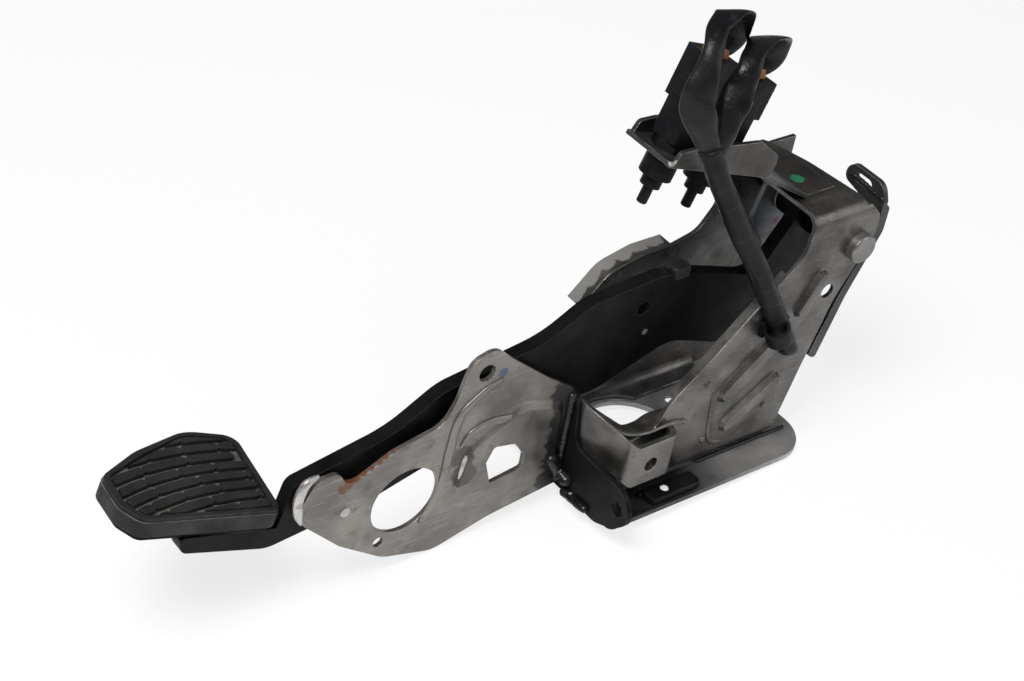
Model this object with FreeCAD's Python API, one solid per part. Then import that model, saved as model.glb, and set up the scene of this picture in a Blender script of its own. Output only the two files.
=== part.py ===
import FreeCAD, Part
import math
import os

# Car brake pedal with its bracket, two pedal switches and their taped harness.
# Millimetres, +Z up. The origin is the centre of the booster hole on the firewall face, the underside
# of the base plate. +X runs up the firewall, the pad is at -X, and -Y is the side with the stay plate.

V = FreeCAD.Vector

# Base plate and its holes
BASE_T = 3.0
BASE_FRONT_X = -56.0
BASE_REAR_X = 91.0
BASE_HALF_WIDTH = 54.0
BASE_CORNER_R = 23.0
BOOSTER_HOLE_R = 29.0
STUD_X = 43.0
STUD_Y = 13.0
STUD_HOLE_R = 4.3

# Bracket side walls and roof
WALL_OUT = 36.0
WALL_T = 2.4
FOOT_BEND_R = 8.0
FOOT_REACH = 14.0
ROOF_TOP_Z = 151.0
ROOF_BEND_R = 9.0
ROOF_FRONT_X = 66.0
BOOSTER_CLEARANCE = 2.0
ROOF_REAR_CORNER_X = 104.0
BEAD_DEPTH = 3.0
LIP_WIDTH = 9.0
NEAR_LIP_WIDTH = 6.0
WALL_HOLE_R = 4.5

# Front cross panel with its ear
PANEL_T = 3.0
EAR_Y = -58.0
EAR_Z = 20.0
EAR_HOLE_R = 4.3
ARM_STOP_GAP = 0.3

# Stay plate, on the side of the arm
STAY_T = 2.6
STAY_INNER_Y = -8.4
STAY_BOLT_X = -121.0
STAY_BOLT_Z = 98.0
STAY_BOLT_R = 5.0
STAY_HOLE_X = -161.0
STAY_HOLE_Z = 31.0
STAY_HOLE_R = 20.0
STAY_STEP = 2.0

# Corner strap and stiffening bar
STRAP_T = 3.0
STRAP_FACE_Y = -46.0
STRAP_HOLE_X = -28.0
STRAP_HOLE_Z = 29.0
STRAP_HOLE_R = 4.3
BAR_LENGTH = 34.0
BAR_WIDTH = 10.0
BAR_HEIGHT = 4.5

# Guide blade with the slotted tab
BLADE_GAP = 3.5
BLADE_WIDTH = 6.0
BLADE_CLEARANCE = 0.8
TAB_T = 3.0
TAB_WIDTH = 30.0
TAB_TOP_Z = 157.0
TAB_SLOT_R = 3.0
TAB_SLOT_LENGTH = 6.0
TAB_SLOT_Z = 151.0

# Pivot
PIVOT_X = 102.0
PIVOT_Z = 124.0
BOLT_R = 5.0
BOLT_HEAD_R = 8.5
BOLT_HEAD_H = 5.5
NUT_FLAT = 8.0
NUT_H = 8.0
BOLT_CLEARANCE = 0.1
SLEEVE_R = 7.0
BUSH_CLEARANCE = 0.05
BUSH_R = 8.6
BUSH_FLANGE_R = 10.8
BUSH_FLANGE_T = 1.5
HUB_R = 11.0
SIDE_GAP = 0.4
INNER_PLATE_Y = 19.0
INNER_PLATE_T = 3.0

# Pedal arm, bumper and pad; the arm's lower edge runs level where it rests on the front panel
ARM_T = 8.0
ARM_REST_Z = 52.0
CLEVIS_X = -15.0
CLEVIS_Z = 98.0
CLEVIS_R = 4.05
BUMPER_X = 9.0
BUMPER_R = 6.0
BUMPER_H = 3.5
BUMPER_STEM_R = 2.5
BUMPER_STEM = 6.0
PAD_X = -222.0
PAD_Z = 46.0
PAD_TILT = 17.0
PAD_T = 8.0
PAD_PLATE_T = 3.5
PAD_PLATE_INSET = 3.0
ARM_BEHIND_PAD = 6.5
RIB_H = 2.2
RIB_WIDTH = 5.0
RIB_PITCH = 7.6
RIB_GAP = 5.0
RIM_WIDTH = 3.0

# Switch bracket and switches, set square to a tilted axis
SWITCH_TILT = 19.5
SWITCH_PLATE_T = 2.4
SWITCH_PLATE_N = 178.5
SWITCH_S = (-84.0, -50.0)
SWITCH_PLATE_FRONT_S = -99.0
SWITCH_PLATE_REAR_S = -26.0
SWITCH_PLATE_NEAR_Y = -18.0
SWITCH_PLATE_FAR_Y = 16.0
THREAD_R = 6.0
SWITCH_BODY_R = 8.8
SWITCH_BODY_H = 13.0
SWITCH_NECK_R = 5.4
SWITCH_NECK_H = 6.0
COLLAR_R = 10.0
COLLAR_H = 5.0
PLUNGER_R = 2.8
PLUNGER_OUT = 10.0
PLUNGER_IN = 10.0
PLUNGER_CLEARANCE = 0.06
PLUNGER_STROKE = 5.0
HOUSING_WIDTH = 17.0
HOUSING_DEPTH = 18.0
HOUSING_H = 20.0
PLUG_WIDTH = 20.0
PLUG_DEPTH = 21.0
PLUG_H = (27.0, 20.0)
SEAL_WIDTH = 11.0
SEAL_H = 5.0

# Harness
BRANCH_R = 5.0
TRUNK_R = 5.6
BRANCH_APART = 11.6
JOINT_LENGTH = 16.0
JOINT = V(-10, -29.8, 208)
TRUNK_TURN = V(13, -37, 161)
TRUNK_END_X = 52.0
TRUNK_END_Z = 80.0
CLIP_WALL = 1.6
CLIP_LENGTH = 10.0
CLIP_FOOT_T = 2.0

# The near wall ends at the guide blade, just behind the pedal hub.
ROOF_REAR_X = PIVOT_X + HUB_R + BLADE_CLEARANCE


def on_xz(y):
    return lambda u, v: V(u, y, v)


def on_yz(x):
    return lambda u, v: V(x, u, v)


def on_xy(z):
    return lambda u, v: V(u, v, z)


def rounded_edges(corners, place):
    """Edges of a closed outline; each corner is (u, v, radius) and is rounded by a tangent arc."""
    count = len(corners)
    starts = []
    ends = []
    middles = []
    for i in range(count):
        before = V(corners[i - 1][0], corners[i - 1][1], 0)
        here = V(corners[i][0], corners[i][1], 0)
        after = V(corners[(i + 1) % count][0], corners[(i + 1) % count][1], 0)
        back = (before - here).normalize()
        ahead = (after - here).normalize()
        radius = corners[i][2]
        half = back.getAngle(ahead) / 2
        if radius <= 0 or half > math.pi / 2 - 1e-4:
            starts.append(here)
            ends.append(here)
            middles.append(None)
            continue
        reach = radius / math.tan(half)
        centre = here + (back + ahead).normalize() * (radius / math.sin(half))
        starts.append(here + back * reach)
        ends.append(here + ahead * reach)
        middles.append(centre + (here - centre).normalize() * radius)
    edges = []
    for i in range(count):
        if middles[i] is not None:
            arc = [place(p.x, p.y) for p in (starts[i], middles[i], ends[i])]
            edges.append(Part.Arc(*arc).toShape())
        following = starts[(i + 1) % count]
        if (following - ends[i]).Length > 1e-6:
            line = Part.LineSegment(place(ends[i].x, ends[i].y), place(following.x, following.y))
            edges.append(line.toShape())
    return edges


def plate(corners, place, thickness):
    """A flat plate: a rounded outline on a plane, thickened by a vector."""
    return Part.Face(Part.Wire(rounded_edges(corners, place))).extrude(thickness)


def drill(shape, radius, at, along):
    """Cut a round hole through a shape; along is the full length of the cut, centred on at."""
    tool = Part.makeCylinder(radius, along.Length, at - along * 0.5, along)
    return shape.cut(tool)


def bent_strip(points, thickness, place):
    """Section of a bent strip; the points (u, v, radius) are its lower face, thickened to their left."""
    lower = [V(p[0], p[1], 0) for p in points]
    runs = [(b - a).normalize() for a, b in zip(lower, lower[1:])]
    normals = [V(-run.y, run.x, 0) for run in runs]
    outline = list(points)
    for i in range(len(points) - 1, -1, -1):
        before = normals[max(i - 1, 0)]
        after = normals[min(i, len(normals) - 1)]
        middle = (before + after).normalize()
        upper = lower[i] + middle * (thickness / middle.dot(before))
        outline.append((upper.x, upper.y, points[i][2]))
    return Part.Face(Part.Wire(rounded_edges(outline, place)))


def slot_corners(x0, z0, x1, z1, radius):
    """Corners of an obround from one end centre to the other, rounded just short of a half circle."""
    axis = V(x1 - x0, z1 - z0, 0).normalize()
    side = V(-axis.y, axis.x, 0)
    ends = (V(x0, z0, 0) - axis * radius, V(x1, z1, 0) + axis * radius)
    corners = []
    for end, turn in ((ends[0], 1), (ends[1], -1)):
        for way in (turn, -turn):
            point = end + side * (radius * way)
            corners.append((point.x, point.y, radius * 0.98))
    return corners


def pressed_bead(x0, z0, x1, z1, radius, face_y, outward, wall):
    """A pressed bead on a wall square to Y: the ridge outside and the groove that backs it inside."""
    narrow = radius * 0.62
    ridge = Part.makeLoft([
        Part.Wire(rounded_edges(slot_corners(x0, z0, x1, z1, radius), on_xz(face_y))),
        Part.Wire(rounded_edges(slot_corners(x0, z0, x1, z1, narrow), on_xz(face_y + outward * BEAD_DEPTH))),
    ], True)
    inside = face_y - outward * wall
    groove = Part.makeLoft([
        Part.Wire(rounded_edges(slot_corners(x0, z0, x1, z1, radius * 0.9), on_xz(inside))),
        Part.Wire(rounded_edges(slot_corners(x0, z0, x1, z1, narrow * 0.85),
                                on_xz(inside + outward * BEAD_DEPTH))),
    ], True)
    return ridge, groove


def base_plate():
    half = BASE_HALF_WIDTH
    corners = [
        (BASE_FRONT_X, -half, 4), (BASE_REAR_X, -half, BASE_CORNER_R),
        (BASE_REAR_X, half, BASE_CORNER_R), (BASE_FRONT_X, half, 4),
    ]
    shape = plate(corners, on_xy(0), V(0, 0, BASE_T))
    through = V(0, 0, 4 * BASE_T)
    shape = drill(shape, BOOSTER_HOLE_R, V(0, 0, 0), through)
    for x in (-STUD_X, STUD_X):
        for y in (-STUD_Y, STUD_Y):
            shape = drill(shape, STUD_HOLE_R, V(x, y, 0), through)
    return shape


def wall_section(side, with_roof):
    """Section of a side wall in the YZ plane: foot flange turned inward, web, and for one wall the roof."""
    out = side * WALL_OUT
    inward = -side
    foot_end = out + inward * FOOT_REACH
    points = [(foot_end, BASE_T, 0), (out, BASE_T, FOOT_BEND_R)]
    inner_r = FOOT_BEND_R - WALL_T
    back = [(out + inward * WALL_T, BASE_T + WALL_T, inner_r), (foot_end, BASE_T + WALL_T, 0)]
    if with_roof:
        far = -out
        points +=[(out, ROOF_TOP_Z, ROOF_BEND_R), (far, ROOF_TOP_Z, 0)]
        under = ROOF_TOP_Z - WALL_T
        back = [(far, under, 0), (out + inward * WALL_T, under, ROOF_BEND_R - WALL_T)] + back
    else:
        top = ROOF_TOP_Z - WALL_T
        points += [(out, top, 0)]
        back = [(out + inward * WALL_T, top, 0)] + back
    return points + back


def wall_from(section, outline):
    """Extrude a wall section along X and trim it to an outline seen along Y."""
    low = BASE_FRONT_X
    length = ROOF_REAR_X - low + 20
    solid = Part.Face(Part.Wire(rounded_edges(section, on_yz(low)))).extrude(V(length, 0, 0))
    reach = WALL_OUT + 20
    trim = plate(outline, on_xz(-reach), V(0, 2 * reach, 0))
    solid = solid.common(trim)
    room = Part.makeCylinder(BOOSTER_HOLE_R + BOOSTER_CLEARANCE, 4 * BASE_T + FOOT_BEND_R, V(0, 0, 0))
    return solid.cut(room)


def pivot_holes(shape):
    return drill(shape, BOLT_R + BOLT_CLEARANCE, V(PIVOT_X, 0, PIVOT_Z), V(0, 4 * WALL_OUT, 0))


def near_side_wall():
    rear = ROOF_REAR_X
    outline = [
        (-40, 0, 0), (72, 0, 4), (84, 49, 60), (95, 90, 60), (rear, 128, 10), (rear, 140, 8),
        (ROOF_REAR_CORNER_X, ROOF_TOP_Z + 1, 0), (ROOF_FRONT_X, ROOF_TOP_Z + 1, 0), (ROOF_FRONT_X - 4, 128, 14),
        (30, 97, 30), (10, 77, 40), (-15, 54, 12), (-19, 42, 10), (-40, 40, 0),
    ]
    shape = wall_from(wall_section(-1, True), outline)
    past_roof = [
        (ROOF_REAR_CORNER_X, -WALL_OUT + WALL_T, 0), (99, 8, 60), (93, 31, 12), (76, 60, 0), (140, 60, 0),
        (140, -WALL_OUT + WALL_T, 0),
    ]
    shape = shape.cut(plate(past_roof, on_xy(ROOF_TOP_Z - WALL_T - 1), V(0, 0, 10)))
    lip = bent_strip([(-8, 58, 0), (11.7, 75.3, 40), (31.7, 95.3, 30), (55, 117, 0)], WALL_T, on_xz(-WALL_OUT))
    shape = shape.fuse(lip.extrude(V(0, NEAR_LIP_WIDTH, 0)))
    shape = pivot_holes(shape)
    beads = ((28, 50, 56, 76, 6.5), (34, 26, 63, 46, 5.0), (70, 92, 79, 110, 5.0))
    for x0, z0, x1, z1, radius in beads:
        ridge, groove = pressed_bead(x0, z0, x1, z1, radius, -WALL_OUT, -1, WALL_T)
        shape = shape.fuse(ridge).cut(groove)
    hole = V(88, -WALL_OUT, 98)
    return drill(shape, WALL_HOLE_R, hole, V(0, 6 * WALL_T, 0)).removeSplitter()


def far_side_wall():
    rear = ROOF_REAR_X
    lip = [(-21, 76), (-5, 93), (16, 98), (37, 98)]
    outline = [
        (-34, 0, 0), (72, 0, 4), (84, 49, 60), (95, 90, 60), (rear, 134, 10), (rear, ROOF_TOP_Z, 0),
        (ROOF_FRONT_X, ROOF_TOP_Z, 0), (ROOF_FRONT_X - 2, 116, 10), (54, 102, 14), (lip[3][0], lip[3][1], 10),
        (lip[2][0], lip[2][1], 20), (lip[1][0], lip[1][1], 20), (lip[0][0], lip[0][1], 16), (-34, 40, 10),
    ]
    shape = wall_from(wall_section(1, False), outline)
    shape = pivot_holes(shape)
    ridge, groove = pressed_bead(20, 40, 40, 72, 5.0, WALL_OUT, 1, WALL_T)
    shape = shape.fuse(ridge).cut(groove)
    edge = bent_strip([(lip[0][0], lip[0][1] - WALL_T, 0), (lip[1][0], lip[1][1] - WALL_T, 18),
                       (lip[2][0], lip[2][1] - WALL_T, 18), (lip[3][0], lip[3][1] - WALL_T, 0)],
                      WALL_T, on_xz(WALL_OUT - WALL_T))
    turned = edge.extrude(V(0, LIP_WIDTH + WALL_T, 0))
    return shape.fuse(turned).removeSplitter()


def front_cross_panel():
    stop = ARM_REST_Z - ARM_STOP_GAP
    half_slot = ARM_T / 2 + 3.0
    wall_in = WALL_OUT - WALL_T
    corners = [
        (BASE_HALF_WIDTH, 0, 6), (BASE_HALF_WIDTH, 16, 10), (wall_in + 4, 44, 16), (24, 58, 10),
        (half_slot, 60, 4), (half_slot, stop, 3), (-half_slot, stop, 3), (-half_slot, 62, 3),
        (-15, 61, 5), (-19, 33, 8), (EAR_Y - 2, 33, 11), (EAR_Y - 11, 18, 9), (EAR_Y, 6, 9), (-44, 0, 12),
    ]
    shape = plate(corners, on_yz(BASE_FRONT_X - PANEL_T), V(PANEL_T, 0, 0))
    return drill(shape, EAR_HOLE_R, V(BASE_FRONT_X, EAR_Y, EAR_Z), V(6 * PANEL_T, 0, 0))


def stay_plate():
    face = STAY_INNER_Y - STAY_T
    right = BASE_FRONT_X - PANEL_T
    corners = [
        (right, 2, 0), (right, 66, 6), (-78, 79, 8), (-106, 102, 10), (STAY_BOLT_X + 4, 112, 10),
        (STAY_BOLT_X - 10, 108, 9), (-137, 86, 14), (-143, 73, 14), (-172, 67, 30), (-198, 54, 8),
        (-203, 66, 6), (-216, 66, 7), (-224, 52, 8), (-222, 40, 10), (-198, 16, 20), (-170, -4, 24),
        (-138, -13, 20), (-104, -4, 20),
    ]
    shape = plate(corners, on_xz(face), V(0, STAY_T, 0))
    raised = [
        (right - 4, 14, 6), (right - 6, 60, 8), (-92, 70, 12), (-124, 52, 14), (-134, 12, 14), (-108, 4, 12),
    ]
    inner = [(u * 0.94 - 6.5, v * 0.86 + 5.5, r) for u, v, r in raised]
    lift = Part.makeLoft([
        Part.Wire(rounded_edges(raised, on_xz(face))),
        Part.Wire(rounded_edges(inner, on_xz(face - STAY_STEP))),
    ], True)
    sink = Part.makeLoft([
        Part.Wire(rounded_edges(inner, on_xz(STAY_INNER_Y))),
        Part.Wire(rounded_edges([(u * 0.97 - 3, v * 0.94 + 2.5, r) for u, v, r in inner],
                                on_xz(STAY_INNER_Y - STAY_STEP))),
    ], True)
    shape = shape.fuse(lift).cut(sink)
    across = V(0, 20 * STAY_T, 0)
    shape = drill(shape, STAY_BOLT_R, V(STAY_BOLT_X, face, STAY_BOLT_Z), across)
    shape = drill(shape, STAY_HOLE_R, V(STAY_HOLE_X, face, STAY_HOLE_Z), across)
    shape = drill(shape, 3.2, V(-174, face, 8), across)
    window = [(-113, 38, 2), (-109, 47, 2), (-95, 44, 2), (-88, 34, 2), (-88, 25, 2), (-108, 22, 2)]
    cutter = plate(window, on_xz(face - 10), V(0, 30, 0))
    return shape.cut(cutter).removeSplitter()


def corner_strap():
    """A strap bent in plan: along the front panel's back, across the corner, then back to the wall."""
    left = BASE_FRONT_X
    path = [(left, -12, 0), (left, -17, 6), (-45, STRAP_FACE_Y, 7), (-12, STRAP_FACE_Y, 5), (-9, -WALL_OUT, 0)]
    face = bent_strip(path, STRAP_T, on_xy(BASE_T))
    solid = face.extrude(V(0, 0, 70))
    trim = [
        (left - 1, 33, 0), (-40, 17, 6), (-4, 17, 0), (-4, 43, 0), (-38, 43, 8), (left - 1, 60, 0),
    ]
    solid = solid.common(plate(trim, on_xz(STRAP_FACE_Y - 10), V(0, 60, 0)))
    beyond_wall = Part.makeBox(40, 40, 80, V(-30, -WALL_OUT, 0))
    solid = solid.cut(beyond_wall)
    return drill(solid, STRAP_HOLE_R, V(STRAP_HOLE_X, STRAP_FACE_Y, STRAP_HOLE_Z), V(0, 8 * STRAP_T, 0))


def corner_web():
    """A low web behind the strap, from the front panel to the inner face of the near wall's toe."""
    wall_in = -WALL_OUT + WALL_T
    path = [(BASE_FRONT_X, -6.5, 0), (-38, wall_in, 16), (-19, wall_in, 0)]
    solid = bent_strip(path, WALL_T, on_xy(BASE_T)).extrude(V(0, 0, 70))
    trim = [
        (BASE_FRONT_X, 26, 0), (-19, 26, 0), (-19, 41, 3), (-34, 40, 12), (-46, 48, 14), (BASE_FRONT_X, 60, 0),
    ]
    return solid.common(plate(trim, on_xz(-WALL_OUT), V(0, 60, 0)))


def base_bar():
    corners = [
        (-26, -BASE_HALF_WIDTH + 2, 3), (-26 + BAR_LENGTH, -BASE_HALF_WIDTH + 2, 3),
        (-26 + BAR_LENGTH, -BASE_HALF_WIDTH + 2 + BAR_WIDTH, 3), (-26, -BASE_HALF_WIDTH + 2 + BAR_WIDTH, 3),
    ]
    return plate(corners, on_xy(BASE_T), V(0, 0, BAR_HEIGHT))


def guide_blade():
    """A blade behind the near wall's rear edge, bent at its top into the slotted tab on the roof's edge."""
    top_x = ROOF_REAR_X
    shift = BLADE_GAP + BLADE_WIDTH
    corners = [
        (84 + BLADE_GAP, 54, 2), (84 + shift, 50, 2), (95 + shift, 90, 60), (top_x + BLADE_WIDTH, 128, 8),
        (top_x + BLADE_WIDTH, 146, 5), (top_x, 146, 0), (top_x, 128, 8), (95 + BLADE_GAP, 90, 60),
    ]
    blade = plate(corners, on_xz(-WALL_OUT), V(0, WALL_T, 0))
    far = -WALL_OUT + TAB_WIDTH
    tab = [
        (-WALL_OUT, 138, 0), (far, 146, 4), (far, TAB_TOP_Z, 7), (-WALL_OUT + 4, TAB_TOP_Z, 7),
        (-WALL_OUT, 148, 3),
    ]
    solid = blade.fuse(plate(tab, on_yz(top_x), V(TAB_T, 0, 0)))
    slot_y = -WALL_OUT + TAB_WIDTH / 2 + 2
    half = TAB_SLOT_LENGTH / 2
    slot = slot_corners(slot_y - half, TAB_SLOT_Z, slot_y + half, TAB_SLOT_Z, TAB_SLOT_R)
    return solid.cut(plate(slot, on_yz(top_x - 10), V(30, 0, 0))).removeSplitter()


def inner_plate():
    corners = [
        (78, 112, 6), (84, 138, 8), (PIVOT_X + 6, 143, 10), (128, 120, 10), (131, 92, 6), (116, 72, 6),
        (92, 92, 8),
    ]
    shape = plate(corners, on_xz(INNER_PLATE_Y), V(0, INNER_PLATE_T, 0))
    across = V(0, 6 * INNER_PLATE_T, 0)
    shape = drill(shape, SLEEVE_R + BOLT_CLEARANCE, V(PIVOT_X, INNER_PLATE_Y, PIVOT_Z), across)
    return drill(shape, 3.2, V(103, INNER_PLATE_Y, 101), across)


def along_pivot(radius, y0, y1):
    return Part.makeCylinder(radius, y1 - y0, V(PIVOT_X, y0, PIVOT_Z), V(0, 1, 0))


def pivot_bolt():
    head = along_pivot(BOLT_HEAD_R, -WALL_OUT - BOLT_HEAD_H, -WALL_OUT)
    rim = [edge for edge in head.Edges if abs(edge.BoundBox.Center.y + WALL_OUT + BOLT_HEAD_H) < 1e-6]
    head = head.makeChamfer(0.8, [edge for edge in rim if edge.BoundBox.XLength > 1])
    return head.fuse(along_pivot(BOLT_R, -WALL_OUT, WALL_OUT + NUT_H + 3)).removeSplitter()


def pivot_nut():
    corners = []
    for i in range(6):
        turn = math.radians(60 * i)
        reach = NUT_FLAT / math.cos(math.radians(30))
        corners.append((PIVOT_X + reach * math.cos(turn), PIVOT_Z + reach * math.sin(turn), 0.4))
    shape = plate(corners, on_xz(WALL_OUT), V(0, NUT_H, 0))
    return shape.cut(along_pivot(BOLT_R + BOLT_CLEARANCE / 2, WALL_OUT - 1, WALL_OUT + NUT_H + 1))


def pivot_sleeve():
    half = WALL_OUT - WALL_T
    outer = along_pivot(SLEEVE_R, -half, half)
    return outer.cut(along_pivot(BOLT_R + BOLT_CLEARANCE, -half - 1, half + 1))


def hub_ends():
    """Y of the two ends of the hub tube, inside its bush flanges."""
    near = -(WALL_OUT - WALL_T) + BUSH_FLANGE_T + SIDE_GAP
    far = INNER_PLATE_Y - BUSH_FLANGE_T - SIDE_GAP
    return near, far


def pedal_hub():
    near, far = hub_ends()
    return along_pivot(HUB_R, near, far).cut(along_pivot(BUSH_R, near - 1, far + 1))


def hub_bush(end):
    near, far = hub_ends()
    length = (far - near) * 0.4
    if end == "near":
        flange = along_pivot(BUSH_FLANGE_R, near - BUSH_FLANGE_T, near)
        body = along_pivot(BUSH_R, near, near + length)
    else:
        flange = along_pivot(BUSH_FLANGE_R, far, far + BUSH_FLANGE_T)
        body = along_pivot(BUSH_R, far - length, far)
    bore = along_pivot(SLEEVE_R + BUSH_CLEARANCE, near - 10, far + 10)
    return flange.fuse(body).cut(bore).removeSplitter()


def pad_point(p, q, n):
    """A point on the pad: p along it from its upper edge, q across it, n above its rubber face."""
    tilt = math.radians(PAD_TILT)
    return V(
        PAD_X - p * math.cos(tilt) + n * math.sin(tilt), q,
        PAD_Z + p * math.sin(tilt) + n * math.cos(tilt),
    )


def on_pad(n):
    return lambda u, v: pad_point(u, v, n)


PAD_NORMAL = pad_point(0, 0, 1) - pad_point(0, 0, 0)
PAD_OUTLINE = [
    (10, -7, 6), (0, 53, 9), (27, 60, 26), (64, 47, 50), (92, 30, 10), (94, 8, 10), (88, -4, 8),
]


def arm_outline():
    under = -PAD_T - PAD_PLATE_T
    tongue_end = pad_point(62, 0, under)
    tongue_root = pad_point(ARM_BEHIND_PAD, 0, under)
    shoulder = pad_point(ARM_BEHIND_PAD, 0, 13)
    below_end = pad_point(60, 0, under - 9)
    below_root = pad_point(8, 0, under - 12)
    panel = BASE_FRONT_X
    return [
        (tongue_end.x, tongue_end.z, 2), (tongue_root.x, tongue_root.z, 0), (shoulder.x, shoulder.z, 6),
        (-168, 71.3, 60),
        (-140, 88, 30), (-77, 97.5, 60), (-52, 112, 20), (-5, 116, 20), (20, 110, 20), (66, 94, 16),
        (84, 122, 10), (92, 142, 10), (114, 140, 14), (122, 114, 14), (97, 70, 18), (78, 54, 14),
        (46, 55, 20), (10, 69, 26), (panel + 18, ARM_REST_Z, 20), (panel - 14, ARM_REST_Z, 20),
        (-130, 46, 60), (-176, 33, 50), (below_root.x, below_root.z, 20), (below_end.x, below_end.z, 6),
    ]


def pedal_arm():
    shape = plate(arm_outline(), on_xz(-ARM_T / 2), V(0, ARM_T, 0))
    shape = shape.cut(along_pivot(HUB_R, -ARM_T, ARM_T))
    through = V(0, 4 * ARM_T, 0)
    shape = drill(shape, CLEVIS_R, V(CLEVIS_X, 0, CLEVIS_Z), through)
    seat = bumper_seat()
    stem = Part.makeCylinder(BUMPER_STEM_R, BUMPER_STEM, seat, V(0, 0, -1))
    return shape.cut(stem).cut(bumper_flat())


def bumper_seat():
    return V(BUMPER_X, 0, 110.0)


def bumper_flat():
    """The level notch in the arm's upper edge under the bumper."""
    seat = bumper_seat()
    return Part.makeBox(2 * BUMPER_R + 1, 2 * ARM_T, 20, seat - V(BUMPER_R + 0.5, ARM_T, 0))


def bumper():
    seat = bumper_seat()
    stem = Part.makeCylinder(BUMPER_STEM_R, BUMPER_STEM, seat, V(0, 0, -1))
    head = Part.makeCylinder(BUMPER_R, BUMPER_H + 3, seat, V(0, 0, 1))
    slab = Part.makeBox(4 * BUMPER_R, ARM_T, 40, seat - V(2 * BUMPER_R, ARM_T / 2, 20))
    top = [edge for edge in head.Edges if edge.BoundBox.Center.z > seat.z + BUMPER_H + 2.9]
    head = head.makeFillet(1.5, [edge for edge in top if edge.BoundBox.XLength > 1])
    return head.common(slab).fuse(stem).removeSplitter()


def inset(corners, distance):
    """Move each corner of a convex outline towards its centre by about a distance."""
    middle = V(sum(c[0] for c in corners) / len(corners), sum(c[1] for c in corners) / len(corners), 0)
    moved = []
    for u, v, radius in corners:
        way = V(u, v, 0) - middle
        way = way * ((way.Length - distance * 1.2) / way.Length)
        moved.append((middle.x + way.x, middle.y + way.y, max(radius - distance, 1.5)))
    return moved


def pad_plate():
    return plate(inset(PAD_OUTLINE, PAD_PLATE_INSET), on_pad(-PAD_T - PAD_PLATE_T), PAD_NORMAL * PAD_PLATE_T)


def pedal_pad():
    body = plate(PAD_OUTLINE, on_pad(-PAD_T), PAD_NORMAL * PAD_T)
    rim = plate(inset(PAD_OUTLINE, 0.8), on_pad(0), PAD_NORMAL * RIB_H)
    field = plate(inset(PAD_OUTLINE, RIM_WIDTH + 0.8), on_pad(-1), PAD_NORMAL * (RIB_H + 2))
    shape = body.fuse(rim.cut(field))
    ribs = Part.makeCompound(tread_ribs())
    kept = plate(inset(PAD_OUTLINE, RIM_WIDTH + 2.2), on_pad(-0.5), PAD_NORMAL * (RIB_H + 1))
    return shape.fuse(ribs.common(kept)).removeSplitter()


def tread_ribs():
    """Curved tread ribs in rows about a common centre, each row broken into short rounded lengths."""
    centre = V(20, -150, 0)
    ribs = []
    row = 0
    radius = 150.0
    while radius < 214:
        start = -20 + (row % 3) * 9
        length = 17 + (row % 2) * 6
        angle = start
        while angle < 45:
            ribs.append(tread_rib(centre, radius, angle, angle + math.degrees(length / radius)))
            angle += math.degrees((length + RIB_GAP) / radius)
        radius += RIB_PITCH
        row += 1
    return ribs


def tread_rib(centre, radius, first, last):
    def at(r, degrees):
        turn = math.radians(degrees)
        return pad_point(centre.x + r * math.sin(turn), centre.y + r * math.cos(turn), -0.5)

    half = RIB_WIDTH / 2
    cap = math.degrees(half / radius)
    middle = (first + last) / 2
    edges = [
        Part.Arc(at(radius + half, first), at(radius + half, middle), at(radius + half, last)).toShape(),
        Part.Arc(at(radius + half, last), at(radius, last + cap), at(radius - half, last)).toShape(),
        Part.Arc(at(radius - half, last), at(radius - half, middle), at(radius - half, first)).toShape(),
        Part.Arc(at(radius - half, first), at(radius, first - cap), at(radius + half, first)).toShape(),
    ]
    return Part.Face(Part.Wire(edges)).extrude(PAD_NORMAL * (RIB_H + 0.5))


def switch_point(s, y, n):
    """A point in the switches' tilted frame: s along their plate, n along their axis."""
    tilt = math.radians(SWITCH_TILT)
    return V(s * math.cos(tilt) + n * math.sin(tilt), y, -s * math.sin(tilt) + n * math.cos(tilt))


SWITCH_AXIS = switch_point(0, 0, 1) - switch_point(0, 0, 0)


def on_switch_side(y):
    return lambda u, v: switch_point(u, y, v)


def on_switch_plate(n):
    return lambda u, v: switch_point(u, v, n)


def switch_bracket():
    """A plate square to the switches with turned-up sides, stepping down to a foot on the roof."""
    under = SWITCH_PLATE_N - SWITCH_PLATE_T
    front = switch_point(SWITCH_PLATE_FRONT_S, 0, under)
    rear = switch_point(SWITCH_PLATE_REAR_S, 0, under)
    foot_front = ROOF_FRONT_X + 6
    path = [
        (92, ROOF_TOP_Z, 0), (foot_front, ROOF_TOP_Z, 4), (rear.x + 12, rear.z - 8, 8),
        (rear.x, rear.z, 8), (front.x, front.z, 0),
    ]
    path.reverse()
    near = SWITCH_PLATE_NEAR_Y
    width = SWITCH_PLATE_FAR_Y - near
    solid = bent_strip(path, SWITCH_PLATE_T, on_xz(near)).extrude(V(0, width, 0))
    top = SWITCH_PLATE_N
    side = [
        (SWITCH_PLATE_FRONT_S + 2, under, 2), (SWITCH_PLATE_FRONT_S + 4, top + 6, 3),
        (SWITCH_PLATE_FRONT_S + 14, top + 9, 6), (-40, top + 17, 8), (-20, top + 10, 8), (-22, under, 3),
    ]
    for y in (near, SWITCH_PLATE_FAR_Y - SWITCH_PLATE_T):
        solid = solid.fuse(plate(side, on_switch_side(y), V(0, SWITCH_PLATE_T, 0)))
    for s in SWITCH_S:
        solid = drill(solid, THREAD_R + BOLT_CLEARANCE, switch_point(s, 0, under), SWITCH_AXIS * 20)
    return solid.removeSplitter()


def along_switch(s, radius, n0, n1):
    return Part.makeCylinder(radius, n1 - n0, switch_point(s, 0, n0), SWITCH_AXIS)


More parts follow.
